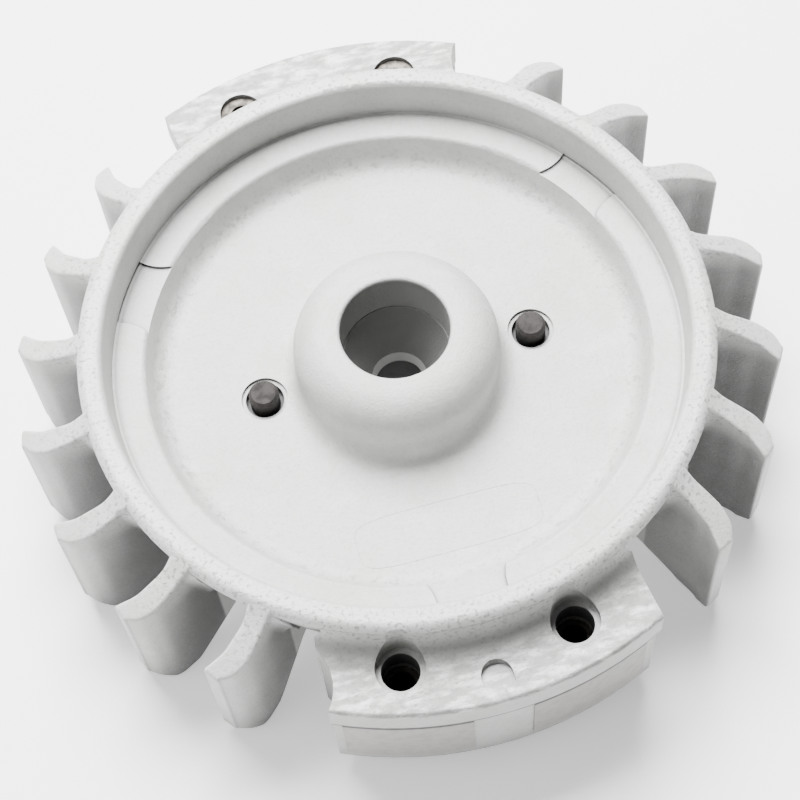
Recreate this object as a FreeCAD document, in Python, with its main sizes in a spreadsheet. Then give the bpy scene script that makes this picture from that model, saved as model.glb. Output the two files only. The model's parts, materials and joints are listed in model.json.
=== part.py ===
import FreeCAD, Part
import math
import os

import Sketcher
from FreeCAD import Placement, Rotation, Vector

# Magneto flywheel of a small two-stroke engine, with a cast-in fan ring.
# Millimetres. +Z runs along the crank axis towards the engine, the origin is the
# centre of the hub's engine-side face, and the magnet lobe points along -Y.
# Depths are measured down from the hub's engine-side face.

DIMENSIONS = {
    # dished disc, turned about the crank axis
    "bore_radius": 7.2,
    "bore_depth": 7.0,
    "seat_top_radius": 7.05,
    "seat_end_radius": 3.75,
    "seat_end_depth": 13.9,
    "stub_hole_radius": 3.3,
    "stub_hole_depth": 15.3,
    "boss_radius": 13.55,
    "boss_foot_radius": 13.6,
    "boss_rounding": 4.7,
    "boss_foot_rounding": 2.2,
    "floor_depth": 10.0,
    "floor_edge_radius": 31.9,
    "floor_rounding": 2.6,
    "ledge_inner_radius": 33.45,
    "ledge_outer_radius": 37.65,
    "ledge_depth": 5.75,
    "ledge_rounding": 0.7,
    "rim_inner_radius": 38.15,
    "rim_outer_radius": 41.9,
    "rim_inner_rounding": 0.8,
    "rim_rounding": 1.3,
    "skirt_radius": 38.6,
    "skirt_depth": 11.2,
    "back_edge_radius": 36.2,
    "back_depth": 13.4,
    "nose_foot_radius": 9.8,
    "nose_radius": 9.2,
    "nose_depth": 22.0,
    "nose_rounding": 0.8,
    "mouth_rounding": 0.5,
    # low stretches of the ledge, three of them
    "gap_drop": 0.4,
    "gap_margin": 0.2,
    "gap_middle_angle": 30.0,
    "gap_outer_half_angle": 7.4,
    "gap_knee_radius": 34.6,
    "gap_knee_half_angle": 7.9,
    "gap_inner_half_angle": 9.5,
    # the two lobes
    "lobe_radius": 50.2,
    "lobe_inner_radius": 36.6,
    "lobe_inner_half_width": 20.3,
    "lobe_outer_half_width": 21.7,
    "lobe_top_depth": 5.8,
    "lobe_flange_depth": 10.6,
    "lobe_bottom_depth": 24.0,
    "slope_top_radius": 41.5,
    "slope_top_depth": 1.2,
    "slope_toe_radius": 45.1,
    "slope_core_radius": 39.5,
    "slope_core_depth": 6.6,
    "lobe_flange_rounding": 0.5,
    "lobe_side_step": 0.7,
    "lobe_face_step": 0.35,
    "waist_radius": 7.0,
    "waist_middle_x": 26.4,
    "waist_middle_y": 41.2,
    "insert_bottom_depth": 22.4,
    # holes in the lobes, on one circle
    "lobe_hole_circle": 44.2,
    "lobe_hole_angle": 14.6,
    "spot_radius": 3.15,
    "spot_depth": 7.0,
    "shoe_hole_radius": 2.45,
    "weight_hole_radius": 2.95,
    "notch_half_width": 2.0,
    "notch_inner_radius": 45.0,
    "notch_outer_radius": 48.4,
    "notch_drop": 1.0,
    # magnet, pole shoes and counterweight, cast in
    "shoe_inner_radius": 39.6,
    "shoe_outer_radius": 50.0,
    "shoe_outer_angle": 23.2,
    "magnet_half_width": 3.9,
    "magnet_outer_radius": 46.4,
    "weight_inner_radius": 39.6,
    "weight_angle": 21.0,
    "shoe_rivet_radius": 2.4,
    "shoe_rivet_bore": 1.7,
    "shoe_rivet_top": 11.6,
    "weight_rivet_radius": 2.9,
    "weight_rivet_bore": 1.55,
    "weight_rivet_top": 6.5,
    # fan blades
    "blade_pitches": 22,
    "blades_each_side": 7,
    "blade_first_angle": 128.28,
    "blade_root_radius": 31.4,
    "blade_end_radius": 50.7,
    "blade_root_top_radius": 41.46,
    "blade_root_depth": 1.35,
    "blade_tip_depth": 5.7,
    "blade_heel_radius": 36.6,
    "blade_heel_depth": 22.0,
    "blade_inner_depth": 19.6,
    "blade_foot_radius": 44.2,
    "blade_toe_radius": 47.9,
    "blade_foot_depth": 27.6,
    "blade_corner_depth": 24.4,
    # pawls, their screws, bushes, washers and springs
    "pivot_circle": 18.4,
    "pivot_rest_height": 0.5,
    "screw_radius": 2.0,
    "screw_tip_radius": 1.62,
    "screw_tip_depth": 8.3,
    "screw_tip_bevel": 0.4,
    "screw_recess_radius": 2.55,
    "screw_recess_depth": 11.6,
    "screw_dish_radius": 3.1,
    "screw_dish_depth": 10.45,
    "screw_head_radius": 3.9,
    "screw_head_height": 2.4,
    "screw_socket_radius": 1.7,
    "screw_socket_depth": 1.5,
    "bush_radius": 3.0,
    "bush_bore": 2.05,
    "bush_length": 7.0,
    "pad_radius": 5.0,
    "washer_radius": 4.8,
    "washer_thickness": 0.8,
    "pawl_bore": 3.05,
    "pawl_eye_radius": 5.0,
    "pawl_thickness": 3.6,
    "pawl_top_depth": 17.0,
    "pawl_rounding": 0.8,
    "spring_wire_radius": 0.3,
    "spring_coil_radius": 3.75,
    "spring_pitch": 0.8,
    "spring_whole_turns": 2,
    "spring_top_depth": 14.15,
    "stop_radius": 1.5,
    "stop_depth": 19.6,
}

MAGNET_SIDE = -90.0
WEIGHT_SIDE = 90.0
HOLE_TURNS = (-DIMENSIONS["lobe_hole_angle"], DIMENSIONS["lobe_hole_angle"])

# Plan of one blade, as distance out from the crank axis and distance across the blade.
BLADE_PLAN = {
    "tip": (50.0, 0.0), "hollow": (47.3, 1.55), "neck": (43.6, 2.25),
    "root_front": (31.0, 1.9), "root_back": (31.0, 4.4), "back": (43.0, 5.05),
    "crown": (46.9, 4.95), "shoulder": (49.2, 4.0), "cheek": (50.15, 3.1),
    "nose": (50.45, 2.3),
}

# Plan of the starter pawl and of what stands beside it, on the +X side.
PAWL_ARM = [(20.9, 4.3), (17.1, 11.0), (12.2, 12.6), (8.9, 11.2), (6.9, 8.7),
            (9.6, 7.9), (13.2, 7.6), (14.2, 2.7)]
ARM_END = Vector(18.65, 9.2, 0)
PAWL_STOP = Vector(23.9, 8.0, 0)
REST_STOP = Vector(11.9, 4.95, 0)
SPRING_POST = Vector(25.4, -5.6, 0)

doc = FreeCAD.newDocument("flywheel")
sheet = doc.addObject("Spreadsheet::Sheet", "dimensions")
for row, (alias, value) in enumerate(DIMENSIONS.items(), start=1):
    sheet.set("A%d" % row, alias)
    sheet.set("B%d" % row, str(value))
    sheet.setAlias("B%d" % row, alias)
doc.recompute()


# ---------------------------------------------------------------- expressions

def amount(text):
    """Number that a sum of aliases and plain numbers stands for, such as "- a + b"."""
    total, sign = 0.0, 1.0
    for word in text.split():
        if word in ("+", "-"):
            sign = 1.0 if word == "+" else -1.0
        else:
            total += sign * float(DIMENSIONS[word] if word in DIMENSIONS else word)
    return total


def formula(text):
    """The same sum as an expression on the sheet's cells."""
    words = [w if w not in DIMENSIONS else "dimensions." + w for w in text.split()]
    return " ".join(words)


def bind(item, **fields):
    """Tie properties of an object to sums of the sheet's cells."""
    for name, text in fields.items():
        item.setExpression(name, formula(text))


def polar(radius, degrees):
    """Point on a circle about the crank axis."""
    turn = math.radians(degrees)
    return Vector(radius * math.cos(turn), radius * math.sin(turn), 0)


# ---------------------------------------------------------------- bodies and sketches

def new_body(label):
    body = doc.addObject("PartDesign::Body", label)
    body.Label = label
    return body


def origin_plane(body, role):
    return [f for f in body.Origin.OriginFeatures if f.Role == role][0]


def new_sketch(body, name, role="XY_Plane", raise_by=None):
    """Sketch on one of the body's own origin planes, raised by a sum of cells."""
    sketch = body.newObject("Sketcher::SketchObject", name)
    sketch.AttachmentSupport = [(origin_plane(body, role), "")]
    sketch.MapMode = "FlatFace"
    if raise_by:
        sketch.setExpression("AttachmentOffset.Base.z", formula(raise_by))
    return sketch


def pin_point(sketch, edge, end, across, up):
    """Hold a sketch point at two sums of cells, or on an axis where a sum is "0"."""
    for kind, text, axis in (("DistanceX", across, -2), ("DistanceY", up, -1)):
        if text == "0":
            sketch.addConstraint(Sketcher.Constraint("PointOnObject", edge, end, axis))
            continue
        index = sketch.addConstraint(
            Sketcher.Constraint(kind, -1, 1, edge, end, amount(text)))
        sketch.setExpression("Constraints[%d]" % index, formula(text))


def outline(sketch, corners):
    """Closed outline of straight lines through corners given as pairs of sums."""
    spots = [Vector(amount(a), amount(b), 0) for a, b in corners]
    first = sketch.GeometryCount
    for here, there in zip(spots, spots[1:] + spots[:1]):
        sketch.addGeometry(Part.LineSegment(here, there), False)
    for index, (across, up) in enumerate(corners):
        before = first + (index - 1) % len(corners)
        sketch.addConstraint(
            Sketcher.Constraint("Coincident", before, 2, first + index, 1))
        pin_point(sketch, first + index, 1, across, up)


def ring(sketch, radius, across="0", up="0"):
    """Circle with its radius and centre tied to the sheet."""
    centre = Vector(amount(across), amount(up), 0)
    edge = sketch.addGeometry(Part.Circle(centre, Vector(0, 0, 1), amount(radius)), False)
    index = sketch.addConstraint(Sketcher.Constraint("Radius", edge, amount(radius)))
    sketch.setExpression("Constraints[%d]" % index, formula(radius))
    pin_point(sketch, edge, 3, across, up)


def revolve(body, name, corners):
    """Solid turned from an outline in the XZ plane about the crank axis."""
    sketch = new_sketch(body, name + "_outline", "XZ_Plane")
    outline(sketch, corners)
    turned = body.newObject("PartDesign::Revolution", name)
    turned.Profile = sketch
    turned.ReferenceAxis = (sketch, ["V_Axis"])
    turned.Angle = 360.0
    doc.recompute()
    return turned


def pad_down(body, name, sketch, length):
    """Pad a level sketch downwards by a sum of cells."""
    pad = body.newObject("PartDesign::Pad", name)
    pad.Profile = sketch
    pad.Reversed = True
    bind(pad, Length=length)
    doc.recompute()
    return pad


def circular_edges(shape, radius, depth):
    """Names of the round edges about the crank axis at a radius and a depth."""
    found = []
    for index, edge in enumerate(shape.Edges, start=1):
        curve = edge.Curve
        if not isinstance(curve, Part.Circle):
            continue
        level = abs(curve.Center.z + depth) < 0.02
        middle = math.hypot(curve.Center.x, curve.Center.y) < 0.02
        if level and middle and abs(curve.Radius - radius) < 0.02:
            found.append("Edge%d" % index)
    return found


def round_edges(body, name, base, names, radius):
    """Fillet named edges by a cell."""
    fillet = body.newObject("PartDesign::Fillet", name)
    fillet.Base = (base, names)
    bind(fillet, Radius=radius)
    doc.recompute()
    return fillet


# ---------------------------------------------------------------- Part primitives

def cylinder(name, radius, top, bottom, spot=Vector(0, 0, 0)):
    """Upright cylinder between two depths, given as sums of cells."""
    item = doc.addObject("Part::Cylinder", name)
    bind(item, Radius=radius)
    item.setExpression("Height", "(%s) - (%s)" % (formula(bottom), formula(top)))
    item.Placement.Base = Vector(spot.x, spot.y, -amount(bottom))
    item.setExpression("Placement.Base.z", "-(%s)" % formula(bottom))
    return item


def fused(name, items):
    fuse = doc.addObject("Part::MultiFuse", name)
    fuse.Shapes = items
    return fuse


def cut(name, base, tool):
    item = doc.addObject("Part::Cut", name)
    item.Base = base
    item.Tool = tool
    return item


def tube(name, radius, bore, top, bottom, spot):
    """Hollow cylinder."""
    outer = cylinder(name + "_outer", radius, top, bottom, spot)
    inner = cylinder(name + "_inner", bore, top, bottom, spot)
    return cut(name, outer, inner)


def group(label, items):
    """Separate solids that share one node."""
    item = doc.addObject("Part::Compound", label)
    item.Label = label
    item.Links = items
    return item


# ---------------------------------------------------------------- sectors of a circle

def sector_block(name, inner, outer, low_degrees, high_degrees, top, bottom):
    """Block between two radii and two angles, as a ring cut by a wedge."""
    whole = tube(name + "_ring", outer, inner, top, bottom, Vector(0, 0, 0))
    reach = 2 * amount(outer)
    wedge = doc.addObject("Part::Feature", name + "_wedge")
    middle = 0.5 * (low_degrees + high_degrees)
    corners = [Vector(0, 0, 0), polar(reach, low_degrees), polar(reach, middle),
               polar(reach, high_degrees), Vector(0, 0, 0)]
    height = amount(bottom) - amount(top) + 2
    wedge.Shape = Part.Face(Part.makePolygon(corners)).extrude(Vector(0, 0, height))
    wedge.Placement.Base = Vector(0, 0, -amount(bottom) - 1)
    block = doc.addObject("Part::Common", name)
    block.Base = whole
    block.Tool = wedge
    return block


def hole_spots(side):
    """Centres of the two holes of a lobe."""
    return [polar(DIMENSIONS["lobe_hole_circle"], side + turn) for turn in HOLE_TURNS]


# ---------------------------------------------------------------- disc casting

def disc_profile():
    """Radius and depth of each corner of the turned disc, from the bore outwards."""
    return [
        ("bore_radius", "0"),
        ("boss_radius", "0"),
        ("boss_foot_radius", "- floor_depth"),
        ("floor_edge_radius", "- floor_depth"),
        ("ledge_inner_radius", "- ledge_depth"),
        ("ledge_outer_radius", "- ledge_depth"),
        ("rim_inner_radius", "0"),
        ("rim_outer_radius", "0"),
        ("skirt_radius", "- skirt_depth"),
        ("back_edge_radius", "- back_depth"),
        ("nose_foot_radius", "- back_depth"),
        ("nose_radius", "- nose_depth"),
        ("stub_hole_radius", "- nose_depth"),
        ("stub_hole_radius", "- stub_hole_depth"),
        ("seat_end_radius", "- seat_end_depth"),
        ("seat_top_radius", "- bore_depth"),
        ("bore_radius", "- bore_depth"),
    ]


def lobe_arc(sketch, half_width, radius):
    """Lobe's plan towards -Y: two flared sides, a flat inner end and a round outer end."""
    wide = amount(half_width)
    far = amount(radius)
    low = -math.sqrt(far * far - wide * wide)
    near = -DIMENSIONS["lobe_inner_radius"]
    narrow = amount("lobe_inner_half_width")
    spots = [Vector(-narrow, near, 0), Vector(-wide, low, 0), Vector(0, -far, 0),
             Vector(wide, low, 0), Vector(narrow, near, 0)]
    sketch.addGeometry(Part.LineSegment(spots[0], spots[1]), False)
    sketch.addGeometry(Part.Arc(spots[1], spots[2], spots[3]), False)
    sketch.addGeometry(Part.LineSegment(spots[3], spots[4]), False)
    sketch.addGeometry(Part.LineSegment(spots[4], spots[0]), False)
    link = Sketcher.Constraint
    sketch.addConstraint(link("Coincident", 0, 2, 1, 1))
    sketch.addConstraint(link("Coincident", 1, 2, 2, 1))
    sketch.addConstraint(link("Coincident", 2, 2, 3, 1))
    sketch.addConstraint(link("Coincident", 3, 2, 0, 1))
    sketch.addConstraint(link("Coincident", 1, 3, -1, 1))
    index = sketch.addConstraint(link("Radius", 1, far))
    sketch.setExpression("Constraints[%d]" % index, formula(radius))
    pin_point(sketch, 0, 1, "- lobe_inner_half_width", "- lobe_inner_radius")
    pin_point(sketch, 2, 2, "lobe_inner_half_width", "- lobe_inner_radius")
    for edge, end, sign in ((0, 2, "- "), (2, 1, "")):
        text = half_width if not sign else "- " + half_width.replace("-", "+")
        index = sketch.addConstraint(link("DistanceX", -1, 1, edge, end, amount(text)))
        sketch.setExpression("Constraints[%d]" % index, formula(text))


def lobe_pads(body, name, top, length, half_width, radius):
    """Pad one lobe and copy it to the other side of the crank axis."""
    sketch = new_sketch(body, name + "_plan", raise_by="- " + top)
    lobe_arc(sketch, half_width, radius)
    pad = pad_down(body, name, sketch, length)
    pair = body.newObject("PartDesign::PolarPattern", name + "_pair")
    pair.Originals = [pad]
    pair.Axis = (sketch, ["N_Axis"])
    pair.Angle = 360.0
    pair.Occurrences = 2
    body.Tip = pair
    doc.recompute()
    return pair


def disc_blank():
    """Turned disc with its roundings and the two plain lobes."""
    body = new_body("disc_blank")
    revolve(body, "dished_disc", disc_profile())
    lobe_pads(body, "lobe_flange", "lobe_top_depth", "lobe_flange_depth - lobe_top_depth",
              "lobe_outer_half_width", "lobe_radius")
    step = lobe_pads(body, "lobe_block", "lobe_flange_depth",
                     "lobe_bottom_depth - lobe_flange_depth",
                     "lobe_outer_half_width - lobe_side_step",
                     "lobe_radius - lobe_face_step")
    roundings = [
        ("lobe_flange_rounding", DIMENSIONS["lobe_radius"], "lobe_top_depth"),
        ("boss_rounding", DIMENSIONS["boss_radius"], None),
        ("boss_foot_rounding", DIMENSIONS["boss_foot_radius"], "floor_depth"),
        ("floor_rounding", DIMENSIONS["floor_edge_radius"], "floor_depth"),
        ("ledge_rounding", DIMENSIONS["ledge_inner_radius"], "ledge_depth"),
        ("rim_inner_rounding", DIMENSIONS["rim_inner_radius"], None),
        ("rim_rounding", DIMENSIONS["rim_outer_radius"], None),
        ("mouth_rounding", DIMENSIONS["bore_radius"], None),
        ("nose_rounding", DIMENSIONS["nose_radius"], "nose_depth"),
    ]
    for count, (radius, where, depth) in enumerate(roundings):
        names = circular_edges(body.Shape, where, DIMENSIONS[depth] if depth else 0.0)
        if not names:
            raise RuntimeError("no edge to round at radius %.2f" % where)
        step = round_edges(body, "rounding_%d" % count, step, names, radius)
        if not step.Shape.isValid() or step.Shape.isNull():
            raise RuntimeError("rounding failed at radius %.2f" % where)
    return body


def lobe_slopes():
    """Hollow slopes that lead from the rim down to the flat tops of the lobes."""
    ring_body = new_body("slope_ring")
    sketch = new_sketch(ring_body, "slope_outline", "XZ_Plane")
    corners = [("slope_core_radius", "- slope_top_depth"),
               ("slope_top_radius", "- slope_top_depth"),
               ("slope_toe_radius", "- lobe_top_depth"),
               ("slope_toe_radius", "- slope_core_depth"),
               ("slope_core_radius", "- slope_core_depth")]
    spots = [Vector(amount(a), amount(b), 0) for a, b in corners]
    run = amount("slope_toe_radius - slope_top_radius")
    drop = amount("lobe_top_depth - slope_top_depth")
    bend = (run * run + drop * drop) / (2 * drop)
    half_turn = math.radians(45)
    middle = Vector(spots[2].x - bend * math.sin(half_turn),
                    spots[2].y + bend * (1 - math.cos(half_turn)), 0)
    sketch.addGeometry(Part.LineSegment(spots[0], spots[1]), False)
    sketch.addGeometry(Part.Arc(spots[1], middle, spots[2]), False)
    for here, there in ((2, 3), (3, 4), (4, 0)):
        sketch.addGeometry(Part.LineSegment(spots[here], spots[there]), False)
    link = Sketcher.Constraint
    arc_is_turned = sketch.Geometry[1].StartPoint.distanceToPoint(spots[1]) > 0.01
    arc_start, arc_end = (2, 1) if arc_is_turned else (1, 2)
    sketch.addConstraint(link("Coincident", 0, 2, 1, arc_start))
    sketch.addConstraint(link("Coincident", 1, arc_end, 2, 1))
    sketch.addConstraint(link("Coincident", 2, 2, 3, 1))
    sketch.addConstraint(link("Coincident", 3, 2, 4, 1))
    sketch.addConstraint(link("Coincident", 4, 2, 0, 1))
    for edge, (across, up) in zip((0, 0, 2, 3, 4), corners):
        end = 2 if (across, up) == corners[1] else 1
        pin_point(sketch, edge, end, across, up)
    index = sketch.addConstraint(link("DistanceX", -1, 1, 1, 3, amount("slope_toe_radius")))
    sketch.setExpression("Constraints[%d]" % index, formula("slope_toe_radius"))
    turned = ring_body.newObject("PartDesign::Revolution", "slope_turned")
    turned.Profile = sketch
    turned.ReferenceAxis = (sketch, ["V_Axis"])
    turned.Angle = 360.0
    doc.recompute()

    plan_body = new_body("slope_plan")
    lobe_pads(plan_body, "slope_prism", "slope_top_depth",
              "slope_core_depth - slope_top_depth", "lobe_outer_half_width", "lobe_radius")
    slopes = doc.addObject("Part::Common", "lobe_slopes")
    slopes.Base = ring_body
    slopes.Tool = plan_body
    return slopes


def ledge_gaps():
    """Three low stretches that interrupt the raised ledge, 120 degrees apart."""
    body = new_body("ledge_gaps")
    sketch = new_sketch(body, "gap_plan", raise_by="- ledge_depth + gap_margin")
    middle = DIMENSIONS["gap_middle_angle"]
    rows = [("ledge_outer_radius + gap_margin", "gap_outer_half_angle"),
            ("gap_knee_radius", "gap_knee_half_angle"),
            ("ledge_inner_radius - gap_drop", "gap_inner_half_angle")]
    low = [polar(amount(radius), middle - amount(turn)) for radius, turn in rows]
    high = [polar(amount(radius), middle + amount(turn)) for radius, turn in rows]
    outer_top, _, inner_top = [polar(amount(radius), middle) for radius, _ in rows]
    sketch.addGeometry(Part.Arc(low[0], outer_top, high[0]), False)
    sketch.addGeometry(Part.Arc(high[0], high[1], high[2]), False)
    sketch.addGeometry(Part.Arc(high[2], inner_top, low[2]), False)
    sketch.addGeometry(Part.Arc(low[2], low[1], low[0]), False)
    gap = pad_down(body, "gap", sketch, "gap_drop + gap_margin")
    trio = body.newObject("PartDesign::PolarPattern", "gap_trio")
    trio.Originals = [gap]
    trio.Axis = (sketch, ["N_Axis"])
    trio.Angle = 360.0
    trio.Occurrences = 3
    body.Tip = trio
    doc.recompute()
    return body


def notch_cutter():
    """Sloping slot with a round inner end in the top of the magnet lobe."""
    low = "lobe_top_depth + notch_drop"
    spot = Vector(0, -DIMENSIONS["notch_inner_radius"] - DIMENSIONS["notch_half_width"], 0)
    end = cylinder("notch_end", "notch_half_width", "lobe_top_depth - 1", low, spot)
    run = doc.addObject("Part::Box", "notch_run")
    bind(run, Length="notch_half_width + notch_half_width", Height="notch_drop + 1",
         Width="notch_outer_radius - notch_inner_radius - notch_half_width")
    run.Placement.Base = Vector(-DIMENSIONS["notch_half_width"],
                                -DIMENSIONS["notch_outer_radius"], -amount(low))
    slot = fused("notch", [end, run])
    tilt = math.degrees(math.atan2(amount("notch_drop"),
                                   amount("notch_outer_radius - notch_inner_radius")))
    hinge = Vector(0, -DIMENSIONS["notch_inner_radius"], -amount(low))
    slot.Placement = Placement(Vector(0, 0, 0), Rotation(Vector(1, 0, 0), -tilt), hinge)
    return slot


def disc_cutters():
    """Everything taken out of the disc: inserts' beds, screw holes, lobe holes, marks."""
    cutters = [ledge_gaps(), notch_cutter()]
    for index, side in enumerate((-1, 1)):
        spot = Vector(side * DIMENSIONS["waist_middle_x"],
                      side * DIMENSIONS["waist_middle_y"], 0)
        cutters.append(cylinder("lobe_waist_%d" % index, "waist_radius", "0",
                                "lobe_bottom_depth + 1", spot))
    for index, spot in enumerate(hole_spots(MAGNET_SIDE)):
        cutters.append(cylinder("spot_face_%d" % index, "spot_radius", "0", "spot_depth", spot))
        cutters.append(cylinder("shoe_hole_%d" % index, "shoe_hole_radius", "0",
                                "insert_bottom_depth", spot))
    for index, spot in enumerate(hole_spots(WEIGHT_SIDE)):
        cutters.append(cylinder("weight_hole_%d" % index, "weight_hole_radius", "0",
                                "insert_bottom_depth", spot))
    for index, turn in enumerate((0, 180)):
        spot = polar(DIMENSIONS["pivot_circle"], turn)
        cutters.append(cylinder("dish_%d" % index, "screw_dish_radius", "floor_depth - 1",
                                "screw_dish_depth", spot))
        cutters.append(cylinder("recess_%d" % index, "screw_recess_radius",
                                "floor_depth - 1", "screw_recess_depth", spot))
        cutters.append(cylinder("screw_hole_%d" % index, "screw_radius", "floor_depth - 1",
                                "back_depth + 2", spot))
    return cutters


def shoe_block(name, side):
    """Pole shoe on one side of the magnet, before its rivet hole is made."""
    high = DIMENSIONS["shoe_outer_angle"]
    turns = (MAGNET_SIDE, MAGNET_SIDE + high) if side > 0 else (MAGNET_SIDE - high, MAGNET_SIDE)
    sector = sector_block(name + "_sector", "shoe_inner_radius", "shoe_outer_radius",
                          turns[0], turns[1], "lobe_flange_depth", "insert_bottom_depth")
    gap = doc.addObject("Part::Box", name + "_gap")
    bind(gap, Length="magnet_half_width + magnet_half_width", Width="shoe_outer_radius",
         Height="insert_bottom_depth - lobe_flange_depth + 2")
    gap.Placement.Base = Vector(-DIMENSIONS["magnet_half_width"],
                                -1.2 * DIMENSIONS["shoe_outer_radius"],
                                -amount("insert_bottom_depth + 1"))
    return cut(name + "_block", sector, gap)


def magnet_block(name):
    block = doc.addObject("Part::Box", name)
    bind(block, Length="magnet_half_width + magnet_half_width",
         Width="magnet_outer_radius - shoe_inner_radius",
         Height="insert_bottom_depth - lobe_flange_depth")
    block.Placement.Base = Vector(-DIMENSIONS["magnet_half_width"],
                                  -DIMENSIONS["magnet_outer_radius"],
                                  -DIMENSIONS["insert_bottom_depth"])
    return block


def weight_block(name):
    turn = DIMENSIONS["weight_angle"]
    return sector_block(name, "weight_inner_radius", "lobe_radius - lobe_face_step",
                        WEIGHT_SIDE - turn, WEIGHT_SIDE + turn,
                        "lobe_flange_depth", "insert_bottom_depth")


def pads_and_stops():
    """Cast on the back: a pad round each pivot, two pawl stops and a spring post."""
    items = []
    pad_depth = "back_depth + pivot_rest_height"
    for index, turn in enumerate((0, 180)):
        items.append(cylinder("pad_%d" % index, "pad_radius", "back_depth - 1", pad_depth,
                              polar(DIMENSIONS["pivot_circle"], turn)))
        spin = Rotation(Vector(0, 0, 1), turn)
        for number, spot in enumerate((PAWL_STOP, REST_STOP, SPRING_POST)):
            items.append(cylinder("stop_%d_%d" % (index, number), "stop_radius",
                                  "back_depth - 1", "stop_depth", spin.multVec(spot)))
    return items


def flywheel_disc():
    """The disc casting: hub, dished web, rim and both lobes, with beds for the inserts."""
    whole = fused("disc_solid", [disc_blank(), lobe_slopes()] + pads_and_stops())
    beds = [shoe_block("shoe_bed_a", 1), shoe_block("shoe_bed_b", -1),
            magnet_block("magnet_bed"), weight_block("weight_bed")]
    disc = cut("flywheel_disc", whole, fused("disc_cutters", disc_cutters() + beds))
    disc.Label = "flywheel_disc"
    return disc


# ---------------------------------------------------------------- fan blades

def blade_plan(body):
    """Plan of one blade: straight root, hooked end with a sharp and a rounded corner."""
    sketch = new_sketch(body, "blade_plan", raise_by="- blade_root_depth + gap_margin")
    turn = Rotation(Vector(0, 0, 1), DIMENSIONS["blade_first_angle"])
    spots = {name: turn.multVec(Vector(out, across, 0))
             for name, (out, across) in BLADE_PLAN.items()}
    sketch.addGeometry(Part.Arc(spots["tip"], spots["hollow"], spots["neck"]), False)
    sketch.addGeometry(Part.LineSegment(spots["neck"], spots["root_front"]), False)
    sketch.addGeometry(Part.LineSegment(spots["root_front"], spots["root_back"]), False)
    sketch.addGeometry(Part.LineSegment(spots["root_back"], spots["back"]), False)
    sketch.addGeometry(Part.Arc(spots["back"], spots["crown"], spots["shoulder"]), False)
    sketch.addGeometry(Part.Arc(spots["shoulder"], spots["cheek"], spots["nose"]), False)
    sketch.addGeometry(Part.LineSegment(spots["nose"], spots["tip"]), False)
    return sketch


def fan_blades():
    """Fourteen blades in two runs of seven, shaped between their plan and a turned outline."""
    plans = new_body("blade_plans")
    sketch = blade_plan(plans)
    pad = pad_down(plans, "blade", sketch, "blade_foot_depth")
    many = plans.newObject("PartDesign::MultiTransform", "blade_runs")
    many.Originals = [pad]
    run = plans.newObject("PartDesign::PolarPattern", "blade_run")
    run.Axis = (sketch, ["N_Axis"])
    run.Angle = (DIMENSIONS["blades_each_side"] - 1) * 360.0 / DIMENSIONS["blade_pitches"]
    run.Occurrences = DIMENSIONS["blades_each_side"]
    sides = plans.newObject("PartDesign::PolarPattern", "blade_sides")
    sides.Axis = (sketch, ["N_Axis"])
    sides.Angle = 360.0
    sides.Occurrences = 2
    many.Transformations = [run, sides]
    plans.Tip = many
    doc.recompute()

    envelope = new_body("blade_envelope")
    revolve(envelope, "blade_sweep", [
        ("blade_root_top_radius", "- blade_root_depth"),
        ("blade_end_radius", "- blade_tip_depth"),
        ("blade_end_radius", "- blade_corner_depth"),
        ("blade_toe_radius", "- blade_foot_depth"),
        ("blade_foot_radius", "- blade_foot_depth"),
        ("blade_heel_radius", "- blade_heel_depth"),
        ("blade_root_radius", "- blade_inner_depth"),
        ("blade_root_radius", "- back_depth"),
        ("back_edge_radius", "- back_depth"),
        ("skirt_radius", "- skirt_depth"),
    ])
    blades = doc.addObject("Part::Common", "fan_blades")
    blades.Base = plans
    blades.Tool = envelope
    blades.Label = "fan_blades"
    return blades


# ---------------------------------------------------------------- inserts

def inserts():
    """Magnet, its two pole shoes, the counterweight and the four tubular rivets."""
    nodes = []
    magnet = magnet_block("magnet")
    magnet.Label = "magnet"
    nodes.append(magnet)
    for label, side in (("pole_shoe_leading", -1), ("pole_shoe_trailing", 1)):
        block = shoe_block(label + "_raw", side)
        spot = hole_spots(MAGNET_SIDE)[0 if side < 0 else 1]
        hole = cylinder(label + "_hole", "shoe_hole_radius", "lobe_flange_depth - 1",
                        "insert_bottom_depth + 1", spot)
        shoe = cut(label, block, hole)
        shoe.Label = label
        nodes.append(shoe)
    raw = weight_block("counterweight_raw")
    holes = [cylinder("counterweight_hole_%d" % i, "weight_hole_radius",
                      "lobe_flange_depth - 1", "insert_bottom_depth + 1", spot)
             for i, spot in enumerate(hole_spots(WEIGHT_SIDE))]
    weight = cut("counterweight", raw, fused("counterweight_holes", holes))
    weight.Label = "counterweight"
    nodes.append(weight)
    nodes.append(group("pole_shoe_rivets", [
        tube("shoe_rivet_%d" % i, "shoe_rivet_radius", "shoe_rivet_bore",
             "shoe_rivet_top", "insert_bottom_depth", spot)
        for i, spot in enumerate(hole_spots(MAGNET_SIDE))]))
    nodes.append(group("counterweight_rivets", [
        tube("weight_rivet_%d" % i, "weight_rivet_radius", "weight_rivet_bore",
             "weight_rivet_top", "insert_bottom_depth", spot)
        for i, spot in enumerate(hole_spots(WEIGHT_SIDE))]))
    return nodes


# ---------------------------------------------------------------- pawl sets

BUSH_TOP = "back_depth + pivot_rest_height"
BUSH_END = BUSH_TOP + " + bush_length"
WASHER_END = BUSH_END + " + washer_thickness"
HEAD_END = WASHER_END + " + screw_head_height"


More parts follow.
